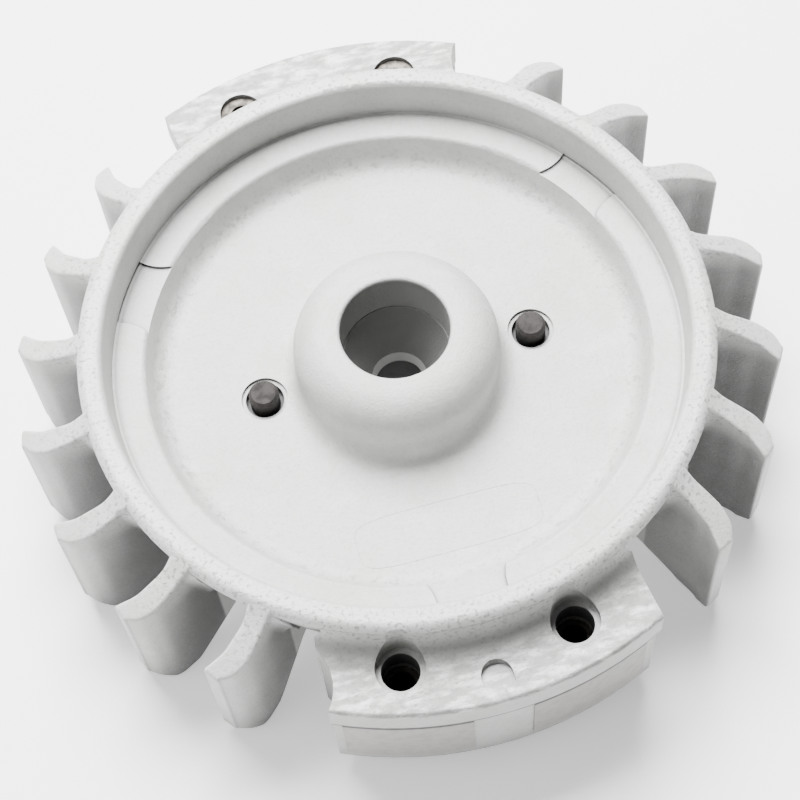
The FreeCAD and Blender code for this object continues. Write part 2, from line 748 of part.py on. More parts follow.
def screws():
    """Two pivot screws: socket head below, shank up through the web, bevelled end."""
    made = []
    for index, turn in enumerate((0, 180)):
        spot = polar(DIMENSIONS["pivot_circle"], turn)
        bevel = "screw_tip_depth + screw_tip_bevel"
        head = cylinder("screw_head_%d" % index, "screw_head_radius", WASHER_END, HEAD_END, spot)
        shank = cylinder("screw_shank_%d" % index, "screw_radius", bevel, WASHER_END, spot)
        tip = doc.addObject("Part::Cone", "screw_tip_%d" % index)
        bind(tip, Radius1="screw_radius", Radius2="screw_tip_radius", Height="screw_tip_bevel")
        tip.Placement.Base = Vector(spot.x, spot.y, -amount(bevel))
        tip.setExpression("Placement.Base.z", "-(%s)" % formula(bevel))
        solid = fused("screw_solid_%d" % index, [head, shank, tip])
        socket = doc.addObject("Part::Prism", "screw_socket_%d" % index)
        socket.Polygon = 6
        bind(socket, Circumradius="screw_socket_radius", Height="screw_socket_depth")
        socket.Placement.Base = Vector(spot.x, spot.y, -amount(HEAD_END))
        socket.setExpression("Placement.Base.z", "-(%s)" % formula(HEAD_END))
        made.append(cut("pivot_screw_%d" % index, solid, socket))
    return group("pawl_pivot_screws", made)


def pawl(label, turn):
    """Ratchet pawl: an eye on its bush and a bent arm that ends in a blunt hook."""
    body = new_body(label)
    sketch = new_sketch(body, label + "_eye_plan", raise_by="- pawl_top_depth")
    ring(sketch, "pawl_eye_radius", "pivot_circle")
    pad_down(body, label + "_eye", sketch, "pawl_thickness")
    arm = new_sketch(body, label + "_arm_plan", raise_by="- pawl_top_depth")
    corners = [Vector(x, y, 0) for x, y in PAWL_ARM]
    for here, there in zip(corners, corners[1:] + corners[:1]):
        arm.addGeometry(Part.LineSegment(here, there), False)
    pad_down(body, label + "_arm", arm, "pawl_thickness")
    hole = new_sketch(body, label + "_bore_plan", raise_by="- pawl_top_depth")
    ring(hole, "pawl_bore", "pivot_circle")
    pocket = body.newObject("PartDesign::Pocket", label + "_bore")
    pocket.Profile = hole
    bind(pocket, Length="pawl_thickness")
    doc.recompute()
    rounded = [n for n, e in enumerate(body.Shape.Edges, start=1)
               if e.Length > DIMENSIONS["pawl_thickness"] - 0.01 and is_upright(e)
               and on_arm(e, (1, 2, 3))]
    round_edges(body, label + "_rounding", pocket, ["Edge%d" % n for n in rounded],
                "pawl_rounding")
    body.Placement = Placement(Vector(0, 0, 0), Rotation(Vector(0, 0, 1), turn))
    return body


def is_upright(edge):
    spots = [v.Point for v in edge.Vertexes]
    return len(spots) == 2 and math.hypot(spots[0].x - spots[1].x, spots[0].y - spots[1].y) < 0.01


def on_arm(edge, numbers):
    spot = edge.Vertexes[0].Point
    return any(math.hypot(spot.x - PAWL_ARM[n][0], spot.y - PAWL_ARM[n][1]) < 0.01
               for n in numbers)


def spring(label, turn):
    """Torsion spring round the bush: one leg past the post, one leg over the pawl's arm.

    Both legs leave the coil along its tangents, so the coil's ends are turned to suit.
    """
    read = DIMENSIONS
    centre = polar(read["pivot_circle"], 0)
    coil_radius, wire = read["spring_coil_radius"], read["spring_wire_radius"]
    reach = ARM_END - centre
    start = (math.degrees(math.atan2(reach.y, reach.x))
             + math.degrees(math.acos(coil_radius / reach.Length)))
    arm_leg = math.sqrt(reach.Length ** 2 - coil_radius ** 2)
    post_leg = SPRING_POST.x + read["stop_radius"] - centre.x
    turns = read["spring_whole_turns"] + (270.0 - start) / 360.0
    height = read["spring_pitch"] * turns
    rise = read["spring_pitch"] / (2 * math.pi * coil_radius)
    slant = Vector(0, 1, rise)
    low_end = Vector(coil_radius, 0, 0)
    turned = Rotation(Vector(0, 0, 1), 360.0 * turns)
    high_end = turned.multVec(low_end) + Vector(0, 0, height)
    foot = low_end - slant * arm_leg
    path = Part.Wire([Part.makeLine(foot, low_end)]
                     + Part.makeHelix(read["spring_pitch"], height, coil_radius).Edges
                     + [Part.makeLine(high_end, high_end + turned.multVec(slant) * post_leg)])
    section = Part.Wire(Part.makeCircle(wire, foot, slant))
    item = doc.addObject("Part::Feature", label)
    item.Label = label
    item.Shape = path.makePipeShell([section], True, False)
    lift = -read["spring_top_depth"] - wire - height
    on_bush = Placement(centre + Vector(0, 0, lift), Rotation(Vector(0, 0, 1), start))
    item.Placement = Placement(Vector(0, 0, 0), Rotation(Vector(0, 0, 1), turn)) * on_bush
    length = arm_leg + post_leg + math.hypot(2 * math.pi * coil_radius * turns, height)
    print("%s: volume %.2f mm3, section times length %.2f mm3" % (
        label, item.Shape.Volume, math.pi * wire ** 2 * length))
    return item


def pawl_sets():
    """Both pawls with their bushes, washers, springs and screws."""
    spots = [polar(DIMENSIONS["pivot_circle"], turn) for turn in (0, 180)]
    bushes = group("pawl_bushes", [
        tube("bush_%d" % i, "bush_radius", "bush_bore", BUSH_TOP, BUSH_END, spot)
        for i, spot in enumerate(spots)])
    washers = group("pawl_washers", [
        tube("washer_%d" % i, "washer_radius", "bush_bore", BUSH_END, WASHER_END, spot)
        for i, spot in enumerate(spots)])
    nodes = [screws(), bushes, washers]
    for letter, turn in (("a", 0), ("b", 180)):
        nodes.append(pawl("pawl_" + letter, turn))
        nodes.append(spring("pawl_spring_" + letter, turn))
    return nodes


# ---------------------------------------------------------------- build and write

def check_document(nodes):
    """Stop on any failed object, and on any node whose shape is missing or not valid."""
    for item in doc.Objects:
        if "Invalid" in item.State or "Error" in item.State:
            raise RuntimeError("%s failed: %s" % (item.Name, item.State))
    for node in nodes:
        if node.Shape.isNull() or not node.Shape.isValid() or not node.Shape.Solids:
            raise RuntimeError("%s has no valid solid" % node.Label)


def write_parts(nodes):
    os.makedirs("parts", exist_ok=True)
    for node in nodes:
        node.Shape.exportStep("parts/%s.step" % node.Label)
        box = node.Shape.BoundBox
        print("%-22s %2d solids %10.1f mm3  z %.2f to %.2f" % (
            node.Label, len(node.Shape.Solids), node.Shape.Volume, box.ZMin, box.ZMax))


nodes = [flywheel_disc(), fan_blades()] + inserts() + pawl_sets()
doc.recompute()
check_document(nodes)
write_parts(nodes)
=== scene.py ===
"""Looks for a small engine's magneto flywheel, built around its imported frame.

The frame holds the disc casting, its inserts and its pawls. This script lights and dresses them, and
adds the pieces that need a finer surface: the fan's blades, the pawl springs and the marks of the casting.
Every length is in metres, with the origin at the hub's engine-side face and +Z along the crank axis.
"""

import json
import logging
import math
from dataclasses import dataclass
from enum import Enum

import bpy
import numpy as np
from mathutils import Matrix, Vector


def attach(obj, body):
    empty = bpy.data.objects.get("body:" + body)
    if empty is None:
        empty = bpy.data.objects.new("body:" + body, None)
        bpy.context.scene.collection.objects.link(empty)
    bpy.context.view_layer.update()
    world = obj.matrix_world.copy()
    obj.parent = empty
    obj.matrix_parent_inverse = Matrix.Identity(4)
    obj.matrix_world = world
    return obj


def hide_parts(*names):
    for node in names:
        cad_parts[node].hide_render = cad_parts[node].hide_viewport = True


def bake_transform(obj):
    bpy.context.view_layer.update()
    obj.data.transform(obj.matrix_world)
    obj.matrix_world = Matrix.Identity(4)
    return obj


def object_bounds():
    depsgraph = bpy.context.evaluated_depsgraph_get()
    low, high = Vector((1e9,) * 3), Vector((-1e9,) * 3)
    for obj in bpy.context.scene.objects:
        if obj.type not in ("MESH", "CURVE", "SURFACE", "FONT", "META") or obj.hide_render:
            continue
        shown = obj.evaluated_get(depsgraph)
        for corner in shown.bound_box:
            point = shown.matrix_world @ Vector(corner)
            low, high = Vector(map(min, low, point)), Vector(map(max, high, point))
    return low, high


LOG = logging.getLogger("flywheel")
MM = 0.001

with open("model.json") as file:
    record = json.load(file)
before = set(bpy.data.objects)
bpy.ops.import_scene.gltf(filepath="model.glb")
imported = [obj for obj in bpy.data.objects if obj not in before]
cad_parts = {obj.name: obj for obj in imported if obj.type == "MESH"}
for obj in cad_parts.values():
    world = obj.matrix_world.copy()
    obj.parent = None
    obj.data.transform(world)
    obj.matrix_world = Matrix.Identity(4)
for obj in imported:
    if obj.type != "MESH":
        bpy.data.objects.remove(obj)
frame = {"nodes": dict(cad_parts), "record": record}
CAD_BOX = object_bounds()


# ------------------------------------------------------------------ shader building

class Wire:
    """One output of a shader node, which takes part in sums and products."""

    def __init__(self, graph: "Graph", socket: bpy.types.NodeSocket) -> None:
        """Keep the graph and the socket."""
        self.graph = graph
        self.socket = socket

    def _math(self, operation: str, first: "Wire | float", second: "Wire | float") -> "Wire":
        """Join two values by a Math node."""
        return self.graph.add("ShaderNodeMath", {"operation": operation}, {0: first, 1: second})

    def __add__(self, other: "Wire | float") -> "Wire":
        """Sum."""
        return self._math("ADD", self, other)

    def __radd__(self, other: float) -> "Wire":
        """Sum, the number first."""
        return self._math("ADD", other, self)

    def __sub__(self, other: "Wire | float") -> "Wire":
        """Difference."""
        return self._math("SUBTRACT", self, other)

    def __rsub__(self, other: float) -> "Wire":
        """Difference, the number first."""
        return self._math("SUBTRACT", other, self)

    def __mul__(self, other: "Wire | float") -> "Wire":
        """Product."""
        return self._math("MULTIPLY", self, other)

    def __rmul__(self, other: float) -> "Wire":
        """Product, the number first."""
        return self._math("MULTIPLY", other, self)

    def step(self, low: float, high: float) -> "Wire":
        """Smooth rise from 0 at low to 1 at high. With low above high it falls instead.

        Args:
            low: Value at which the result is 0.
            high: Value at which the result is 1.

        Returns:
            The eased value.
        """
        return self.graph.add("ShaderNodeMapRange", {"interpolation_type": "SMOOTHSTEP"},
                              {"Value": self, "From Min": low, "From Max": high})

    def span(self, lengths: tuple) -> "Wire":
        """Smooth rise over the first two lengths, and a fall over the next two if there are four.

        Args:
            lengths: Two or four lengths in millimetres.

        Returns:
            The eased value, 1 inside the span.
        """
        start, full, *fall = [length * MM for length in lengths]
        rise = self.step(start, full)
        return rise * self.step(fall[1], fall[0]) if fall else rise


class Graph:
    """A material's node tree with its Principled shader."""

    def __init__(self, name: str, colour: tuple[float, float, float]) -> None:
        """Start a material whose viewport colour is the finish's own.

        Args:
            name: Material name.
            colour: Linear red, green and blue.
        """
        self.material = bpy.data.materials.new(name)
        self.material.use_nodes = True
        self.material.diffuse_color = (*colour, 1.0)
        self.tree = self.material.node_tree
        self.shader = self.tree.nodes["Principled BSDF"]

    def plug(self, socket: bpy.types.NodeSocket, value: "Wire | float | tuple") -> None:
        """Link a wire to a socket, or set the socket's value."""
        if isinstance(value, Wire):
            self.tree.links.new(value.socket, socket)
        else:
            socket.default_value = value

    def add(self, kind: str, settings: dict, values: dict, output: "str | int" = 0) -> Wire:
        """Add any node.

        Args:
            kind: Node type.
            settings: Properties, set first.
            values: Input name or number to value or wire.
            output: Name or number of the output that is wanted.

        Returns:
            The output as a wire.
        """
        node = self.tree.nodes.new(kind)
        for name, value in settings.items():
            setattr(node, name, value)
        for name, value in values.items():
            self.plug(node.inputs[name], value)
        return Wire(self, node.outputs[output])

    def place(self) -> Wire:
        """Object coordinates, in metres."""
        return self.add("ShaderNodeTexCoord", {}, {}, "Object")

    def axes(self) -> tuple[Wire, Wire, Wire]:
        """The three object coordinates apart."""
        parts = self.add("ShaderNodeSeparateXYZ", {}, {0: self.place()}).socket.node
        return tuple(Wire(self, parts.outputs[name]) for name in "XYZ")

    def radius(self) -> Wire:
        """Distance from the crank axis: the length of the place with its height taken off."""
        flat = self.add("ShaderNodeVectorMath", {"operation": "MULTIPLY"},
                        {0: self.place(), 1: (1.0, 1.0, 0.0)})
        return self.add("ShaderNodeVectorMath", {"operation": "LENGTH"}, {0: flat}, "Value")

    def pair_distance(self, x: float, y: float) -> Wire:
        """Distance from the nearer of two upright axes at (x, y) and (-x, y).

        It is the length of (|across| - x, along - y, 0).

        Args:
            x: Distance of each axis from the middle plane.
            y: Their place along Y.

        Returns:
            The distance in metres.
        """
        across, along, _ = self.axes()
        near = self.add("ShaderNodeMath", {"operation": "ABSOLUTE"}, {0: across}) - x
        flat = self.add("ShaderNodeCombineXYZ", {}, {"X": near, "Y": along - y})
        return self.add("ShaderNodeVectorMath", {"operation": "LENGTH"}, {0: flat}, "Value")

    def noise(self, grain: float, detail: float = 2.0, stretch: tuple = (1.0, 1.0, 1.0)) -> Wire:
        """Noise whose grains are a given size.

        Args:
            grain: Size of a grain in metres.
            detail: Octaves.
            stretch: Factor on each axis, under 1 to draw the grains out along it.

        Returns:
            Values about 0.5.
        """
        spot = self.add("ShaderNodeMapping", {}, {"Vector": self.place(), "Scale": stretch})
        return self.add("ShaderNodeTexNoise", {},
                        {"Vector": spot, "Scale": 1.0 / grain, "Detail": detail, "Roughness": 0.6})

    def hollow(self, reach: float) -> Wire:
        """How shut in a place is: 0 in the open, towards 1 deep in a corner or a hole.

        Args:
            reach: How far away a wall still counts, in metres.

        Returns:
            The share of the sky that nearby walls cover.
        """
        sky = self.add("ShaderNodeAmbientOcclusion", {"samples": 6}, {"Distance": reach}, "AO")
        return 1.0 - sky

    def mix(self, factor: "Wire | float", first: "Wire | tuple", second: "Wire | tuple") -> Wire:
        """Blend two colours by a factor."""
        node = self.tree.nodes.new("ShaderNodeMix")
        node.data_type = "RGBA"
        colours = [socket for socket in node.inputs if socket.type == "RGBA"]
        self.plug(node.inputs[0], factor)
        for socket, value in zip(colours, (first, second)):
            self.plug(socket, (*value, 1.0) if isinstance(value, tuple) else value)
        return Wire(self, [s for s in node.outputs if s.type == "RGBA"][0])

    def finish(self, colour: "Wire | tuple", rough: "Wire | float", metal: "Wire | float",
               height: Wire, depth: float) -> bpy.types.Material:
        """Wire the shader up.

        Args:
            colour: Base colour.
            rough: Roughness.
            metal: Metallic share.
            height: Relief, 0 to 1.
            depth: What a height of 1 stands for, in metres.

        Returns:
            The finished material.
        """
        bump = self.add("ShaderNodeBump", {}, {"Strength": 1.0, "Distance": depth, "Height": height})
        shader = self.shader.inputs
        self.plug(shader["Base Color"], (*colour, 1.0) if isinstance(colour, tuple) else colour)
        self.plug(shader["Roughness"], rough)
        self.plug(shader["Metallic"], metal)
        self.plug(shader["Normal"], bump)
        return self.material


# ------------------------------------------------------------------ finishes

# Heights in millimetres between which the flange's shadow on a lobe fades out, from below.
FLANGE_SHADE = (-11.95, -11.60)


@dataclass(frozen=True)
class CastFinish:
    """Blasted aluminium casting, with a speckled rim, streaked lobe tops and painted shade in its corners,
    holes and bore.

    A span of two lengths is where a mark fades in. One of four also says where it fades out again.
    Spans are in millimetres, from the crank axis or along it.
    """

    name: str = "cast_aluminium"
    colour: tuple[float, float, float] = (0.50, 0.50, 0.493)
    warm: tuple[float, float, float] = (0.43, 0.433, 0.405)
    bright: tuple[float, float, float] = (0.74, 0.74, 0.735)
    # Dark specks and streaks, and also the colour of the painted shade on the lobe's slope.
    speck_and_slope_shade: tuple[float, float, float] = (0.14, 0.14, 0.135)
    # Colour of the painted shade in corners, creases, the bore's seat and the pin recesses.
    painted_shade: tuple[float, float, float] = (0.055, 0.055, 0.055)
    # Colour of the painted shade in the bore.
    bore: tuple[float, float, float] = (0.23, 0.23, 0.225)
    # Black of the painted shade in deep holes and of the painted shadow under the flanges.
    black: tuple[float, float, float] = (0.012, 0.012, 0.012)
    metal: float = 0.15
    relief: float = 0.12 * MM
    rim_radii: tuple = (38.3, 39.1)
    rim_levels: tuple = (-6.0, -1.6)
    lobe_sides: tuple = (23.1, 22.2)
    shelf_radii: tuple = (42.5, 44.5)
    shelf_levels: tuple = (-7.0, -6.2)
    # Span of the painted shade on the magnet lobe's slope below the rim.
    slope_radii: tuple = (41.3, 42.2, 44.6, 46.0)
    slope_levels: tuple = (-1.5, -3.5, -6.2, -6.6)
    # Span of the painted shadow under the lobe's flange.
    flange_shadow_radii: tuple = (47.5, 48.6)
    flange_shadow_levels: tuple = (-10.30, -10.50, FLANGE_SHADE[1], FLANGE_SHADE[0])
    # Ring of painted shade, broken up into smudges, in the fillet at the web's edge.
    fillet_shade_and_smudge_radii: tuple = (29.0, 31.6, 31.6, 33.2)
    # Span of the painted shade between the blades.
    fan_radii: tuple = (38.3, 38.8)
    fan_levels: tuple = (-3.0, -8.0)
    # Span of the painted shade in the creases at the ledge.
    ledge_radii: tuple = (32.9, 33.1, 37.2, 37.5)
    hole_axis: tuple[float, float] = (11.14 * MM, -42.77 * MM)
    # Spot faces that are spared most of the painted shade.
    spot_face: tuple = (3.35, 3.15)
    spot_levels: tuple = (-7.3, -7.0)
    # Painted shade in the magnet lobe's holes.
    hole: tuple = (2.70, 2.45)
    hole_levels: tuple = (-7.0, -7.5)
    pin_axis: tuple[float, float] = (18.4 * MM, 0.0)
    # Painted shade in the recesses round the pins.
    pin_recess: tuple = (2.75, 2.45)
    recess_levels: tuple = (-9.8, -10.3)
    # Painted shade in the bore, darker again below its seat.
    bore_radii: tuple = (7.6, 7.3)
    bore_levels: tuple = (-0.1, -0.8)
    seat_levels: tuple = (-6.9, -7.2)
    stub_radii: tuple = (4.2, 3.9)
    # Painted highlight on the ring above the small hole, then painted shade in the hole.
    stub_ring_levels: tuple = (-13.75, -13.95)
    stub_hole_levels: tuple = (-15.2, -15.45)

    def material(self) -> bpy.types.Material:
        """Lay the colours on in order: web, rim and lobes, painted shade, then the bore and pins."""
        paint = CastPaint(self)
        paint.web()
        paint.rim_and_lobes()
        paint.corners()
        paint.bore_and_pins()
        return paint.finish()


class CastPaint:
    """The casting's colours, laid one over another by masks of place."""

    def __init__(self, look: CastFinish) -> None:
        """Start with the plain colour, and make the masks that several layers share.

        Args:
            look: The casting's colours and spans.
        """
        self.look = look
        self.graph = Graph(look.name, look.colour)
        self.colour: "Wire | tuple" = look.colour
        across, _, self.height = self.graph.axes()
        away = self.graph.add("ShaderNodeMath", {"operation": "ABSOLUTE"}, {0: across})
        self.radius = self.graph.radius()
        self.lobe = away.span(look.lobe_sides)
        self.rim = self.radius.span(look.rim_radii) * self.height.span(look.rim_levels)
        self.shelf = self.lobe * self.radius.span(look.shelf_radii) * self.height.span(look.shelf_levels)
        self.smear = self.graph.noise(1.1 * MM, 5.0, (0.35, 1.0, 1.0)).step(0.40, 0.68)
        self.cloud = self.graph.noise(4.0 * MM, 3.0)
        self.from_hole = self.graph.pair_distance(*look.hole_axis)

    def over(self, amount: Wire, colour: tuple) -> None:
        """Lay a colour over what is there.

        Args:
            amount: How much of it, 0 to 1.
            colour: The colour.
        """
        self.colour = self.graph.mix(amount, self.colour, colour)

    def web(self) -> None:
        """Broad warm blotches and light clouds, all over."""
        blotches = self.graph.noise(14.0 * MM, 4.0).step(0.42, 0.68)
        self.over(blotches * 0.6, self.look.warm)
        self.over(self.cloud.step(0.5, 0.8) * 0.25, self.look.bright)

    def rim_and_lobes(self) -> None:
        """Streaks on the lobes' tops, painted shade on the slope above them, and specks, thickest on the
        rim.
        """
        look = self.look
        self.over(self.rim * 0.12 + self.shelf * self.smear * 0.5, look.bright)
        self.over(self.shelf * (1.0 - self.smear) * 0.55, look.speck_and_slope_shade)
        # Painted shade on the lobe's slope, which faces away from the light.
        slope = self.lobe * self.radius.span(look.slope_radii) * self.height.span(look.slope_levels)
        self.over(slope * 0.25, look.speck_and_slope_shade)
        specks = self.graph.noise(0.55 * MM, 4.0).step(0.50, 0.66)
        self.over(specks * (0.14 + self.rim * 0.52 + self.shelf * 0.2), look.speck_and_slope_shade)

    def corners(self) -> None:
        """Painted shade and smudges at the web's edge, painted shade between blades and in corners and
        creases, and a painted shadow under the lobes' flanges.

        The spot faces round the magnet lobe's holes are spared most of the painted shade, and the holes
        below get dark painted shade.
        """
        look, graph = self.look, self.graph
        # Painted shade in the web's edge fillet, broken up by noise into smudges.
        fillet_shade_and_smudge = self.radius.span(look.fillet_shade_and_smudge_radii) * graph.noise(1.1 * MM, 5.0).step(0.50, 0.66)
        self.over(fillet_shade_and_smudge * 0.28, look.painted_shade)
        # Share of the painted shade that is kept off the spot faces round the holes, so that they stay
        # lighter.
        spare_spot_faces = 1.0 - self.from_hole.span(look.spot_face) * self.height.span(look.spot_levels) * 0.75
        # Painted shade between the blades, deepest at their roots.
        between = self.radius.span(look.fan_radii) * self.height.span(look.fan_levels)
        self.over(between * graph.hollow(16.0 * MM).step(0.18, 0.80) * spare_spot_faces * 0.95, look.painted_shade)
        # Painted shade in deep corners and holes everywhere, less on the spot faces.
        self.over(graph.hollow(9.0 * MM).step(0.48, 0.95) * spare_spot_faces * 0.85, look.painted_shade)
        # Painted shade in the thin creases round the ledge.
        ledge = self.radius.span(look.ledge_radii)
        self.over(graph.hollow(1.2 * MM).step(0.06, 0.45) * ledge * 0.85, look.painted_shade)
        # Painted shade deep in the magnet lobe's holes.
        deep = self.from_hole.span(look.hole) * self.height.span(look.hole_levels)
        # Painted shadow under the lobe's flange.
        sheet_seam_and_flange_shadow = self.lobe * self.radius.span(look.flange_shadow_radii) * self.height.span(look.flange_shadow_levels)
        self.over(deep * 0.35 + sheet_seam_and_flange_shadow * 0.75, look.black)

    def bore_and_pins(self) -> None:
        """Painted shade in the bore, its small hole and the pin recesses, and a painted highlight on the
        ring above that hole.
        """
        look = self.look
        # Painted shade over the whole bore, then more below the seat.
        inside = self.radius.span(look.bore_radii) * self.height.span(look.bore_levels)
        self.over(inside * 0.92, look.bore)
        self.over(inside * self.height.span(look.seat_levels) * 0.5, look.painted_shade)
        # Painted shade in the recesses round the pins.
        recess = self.graph.pair_distance(*look.pin_axis).span(look.pin_recess)
        self.over(recess * self.height.span(look.recess_levels) * 0.9, look.painted_shade)
        # A painted highlight on the ring at the bottom of the bore, and painted shade in the small hole
        # below it.
        stub = self.radius.span(look.stub_radii)
        self.over(stub * self.height.span(look.stub_ring_levels) * 0.5, look.bright)
        self.over(stub * self.height.span(look.stub_hole_levels) * 0.96, look.black)

    def finish(self) -> bpy.types.Material:
        """Add the gloss and the blasted grain.

        Returns:
            The finished material.
        """
        grain = self.graph.noise(0.35 * MM, 4.0)
        sand = self.graph.noise(0.16 * MM)
        rough = 0.62 - 0.12 * (self.rim + self.shelf * self.smear) + 0.12 * (grain - 0.5)
        relief = grain * 0.65 + sand * 0.35 + self.cloud * 0.8
        return self.graph.finish(self.colour, rough, self.look.metal, relief, self.look.relief)


class SteelGrade(Enum):
    """Steel and iron pieces, by what has been done to them."""

    GROUND = "ground"
    LAMINATED = "laminated"
    DULL = "dull"
    HARDENED = "hardened"
    DRAWN = "drawn"
    ROUGH = "rough"


@dataclass(frozen=True)
class SteelFinish:
    """Steel or iron in one grade: its colour, stain (also the colour of painted shade in hollows), gloss
    and grain.
    """

    name: str
    grade: SteelGrade
    colour: tuple[float, float, float]
    stain_and_shade: tuple[float, float, float]
    rough: float
    metal: float = 0.85
    relief: float = 0.02 * MM
    lamination: float = 0.5 * MM

    def material(self) -> bpy.types.Material:
        """Steel with stains, plus the lines of its sheets and a painted shadow of the flange where it is
        laminated, and painted shade in hollows on dull and laminated pieces.
        """
        graph = Graph(self.name, self.colour)
        stains = graph.noise(1.6 * MM, 5.0).step(0.42, 0.66)
        stretch = (1.0, 1.0, 0.15) if self.grade is SteelGrade.DRAWN else (1.0, 1.0, 1.0)
        grain = graph.noise(0.18 * MM, 3.0, stretch)
        scratches = graph.noise(0.12 * MM, 2.0, (0.06, 1.0, 1.0))
        laminated = self.grade is SteelGrade.LAMINATED
        calm = laminated or self.grade is SteelGrade.HARDENED
        colour = graph.mix(stains * (0.3 if calm else 0.75), self.colour, self.stain_and_shade)
        relief = grain * 0.6 + scratches * 0.4
        if laminated:
            _, _, height = graph.axes()
            turns = height * (2.0 * math.pi / self.lamination)
            wave = graph.add("ShaderNodeMath", {"operation": "SINE"}, {0: turns})
            sheet_seam_and_flange_shadow = wave.step(0.55, 0.98)
            colour = graph.mix(sheet_seam_and_flange_shadow * 0.35, colour, self.stain_and_shade)
            relief = relief - sheet_seam_and_flange_shadow * 0.8
            # Painted shadow of the lobe's flange across the top of the laminated stack.
            colour = graph.mix(height.span(FLANGE_SHADE) * 0.85, colour, CastFinish.black)
        if self.grade is SteelGrade.ROUGH:
            relief = relief + graph.noise(0.9 * MM, 4.0) * 2.0
        # Painted shade in hollows on dull and laminated pieces, in the stain colour.
        if self.grade in (SteelGrade.DULL, SteelGrade.LAMINATED):
            colour = graph.mix(graph.hollow(5.0 * MM).step(0.35, 0.85) * 0.92, colour, self.stain_and_shade)
        rough = self.rough + 0.22 * (grain - 0.5) + 0.12 * stains
        return graph.finish(colour, rough, self.metal, relief, self.relief)


CAST = CastFinish()
STEELS = {
    "lamination_steel": SteelFinish("lamination_steel", SteelGrade.LAMINATED,
                                    (0.36, 0.352, 0.34), (0.30, 0.29, 0.278), 0.5, 0.5),
    "magnet_alloy": SteelFinish("magnet_alloy", SteelGrade.ROUGH,
                                (0.16, 0.16, 0.17), (0.09, 0.09, 0.09), 0.55),
    "weight_iron": SteelFinish("weight_iron", SteelGrade.ROUGH,
                               (0.42, 0.41, 0.40), (0.26, 0.24, 0.22), 0.55),
    "rivet_steel": SteelFinish("rivet_steel", SteelGrade.DULL,
                               (0.15, 0.13, 0.11), (0.02, 0.017, 0.015), 0.55, 0.5),
    "screw_steel": SteelFinish("screw_steel", SteelGrade.DULL,
                               (0.014, 0.011, 0.010), (0.006, 0.005, 0.004), 0.75, 0.05),
    "bush_steel": SteelFinish("bush_steel", SteelGrade.GROUND,
                              (0.62, 0.62, 0.61), (0.48, 0.47, 0.45), 0.28),
    "pawl_steel": SteelFinish("pawl_steel", SteelGrade.HARDENED,
                              (0.34, 0.33, 0.32), (0.20, 0.18, 0.17), 0.38),
    "spring_wire": SteelFinish("spring_wire", SteelGrade.DRAWN,
                               (0.52, 0.51, 0.49), (0.33, 0.31, 0.29), 0.27),
}


# ------------------------------------------------------------------ surfaces

def grid_faces(rows: int, columns: int, closed: bool = True) -> np.ndarray:
    """Quads of a grid of vertices, row by row.

    Args:
        rows: Number of rows.
        columns: Vertices in a row.
        closed: Whether each row joins its own start.

    Returns:
        Array of vertex numbers, four to a face.
    """
    row = np.arange(rows - 1)[:, None] * columns
    column = np.arange(columns if closed else columns - 1)[None, :]
    after = (column + 1) % columns
    corners = [row + column, row + after, row + columns + after, row + columns + column]
    return np.stack([c + np.zeros_like(corners[0]) for c in corners], axis=-1).reshape(-1, 4)


def tube_mesh(points: np.ndarray, radius: np.ndarray, sides: int = 14) -> tuple:
    """Round tube along a path, closed at both ends.

    At each point two directions square to the path carry a circle: centre + radius (cos a, sin a).
    The first is carried along from point to point, so that the tube doesn't twist.

    Args:
        points: Path, one row a point.
        radius: Radius at each point.
        sides: Vertices round the tube.

    Returns:
        Vertices and a list of faces.
    """
    ahead = np.gradient(points, axis=0)
    ahead /= np.linalg.norm(ahead, axis=1, keepdims=True)
    reference = np.where(np.abs(ahead[:, 2:3]) > 0.8, [[0.0, 1.0, 0.0]], [[0.0, 0.0, 1.0]])
    side = np.cross(reference, ahead)
    side /= np.linalg.norm(side, axis=1, keepdims=True)
    up = np.cross(ahead, side)
    turn = np.linspace(0, 2 * math.pi, sides, endpoint=False)
    circle = (np.cos(turn)[None, :, None] * side[:, None] + np.sin(turn)[None, :, None] * up[:, None])
    body = (points[:, None] + radius[:, None, None] * circle).reshape(-1, 3)
    faces = grid_faces(len(points), sides).tolist()
    last = (len(points) - 1) * sides
    faces += [list(range(sides - 1, -1, -1)), list(range(last, last + sides))]
    return body, faces


def make_piece(name: str, vertices: np.ndarray, faces: list, material: bpy.types.Material,
               smooth: bool = True) -> bpy.types.Object:
    """Put a surface into the scene.

    Args:
        name: Name of the piece.
        vertices: Places in metres.
        faces: Vertex numbers of each face.
        material: Its finish.
        smooth: Whether its faces are shaded smooth.

    Returns:
        The new object.
    """
    mesh = bpy.data.meshes.new(name)
    mesh.from_pydata(vertices.tolist(), [], faces)
    mesh.polygons.foreach_set("use_smooth", np.full(len(mesh.polygons), smooth))
    mesh.materials.append(material)
    mesh.update()
    piece = bpy.data.objects.new(name, mesh)
    bpy.context.scene.collection.objects.link(piece)
    LOG.info("%s: %d faces", name, len(faces))
    return piece


def turned(points: np.ndarray, degrees: float) -> np.ndarray:
    """Points turned about the crank axis."""
    angle = math.radians(degrees)
    spin = np.array([[math.cos(angle), -math.sin(angle), 0],
                     [math.sin(angle), math.cos(angle), 0], [0, 0, 1]])
    return points @ spin.T


# ------------------------------------------------------------------ sub-assemblies

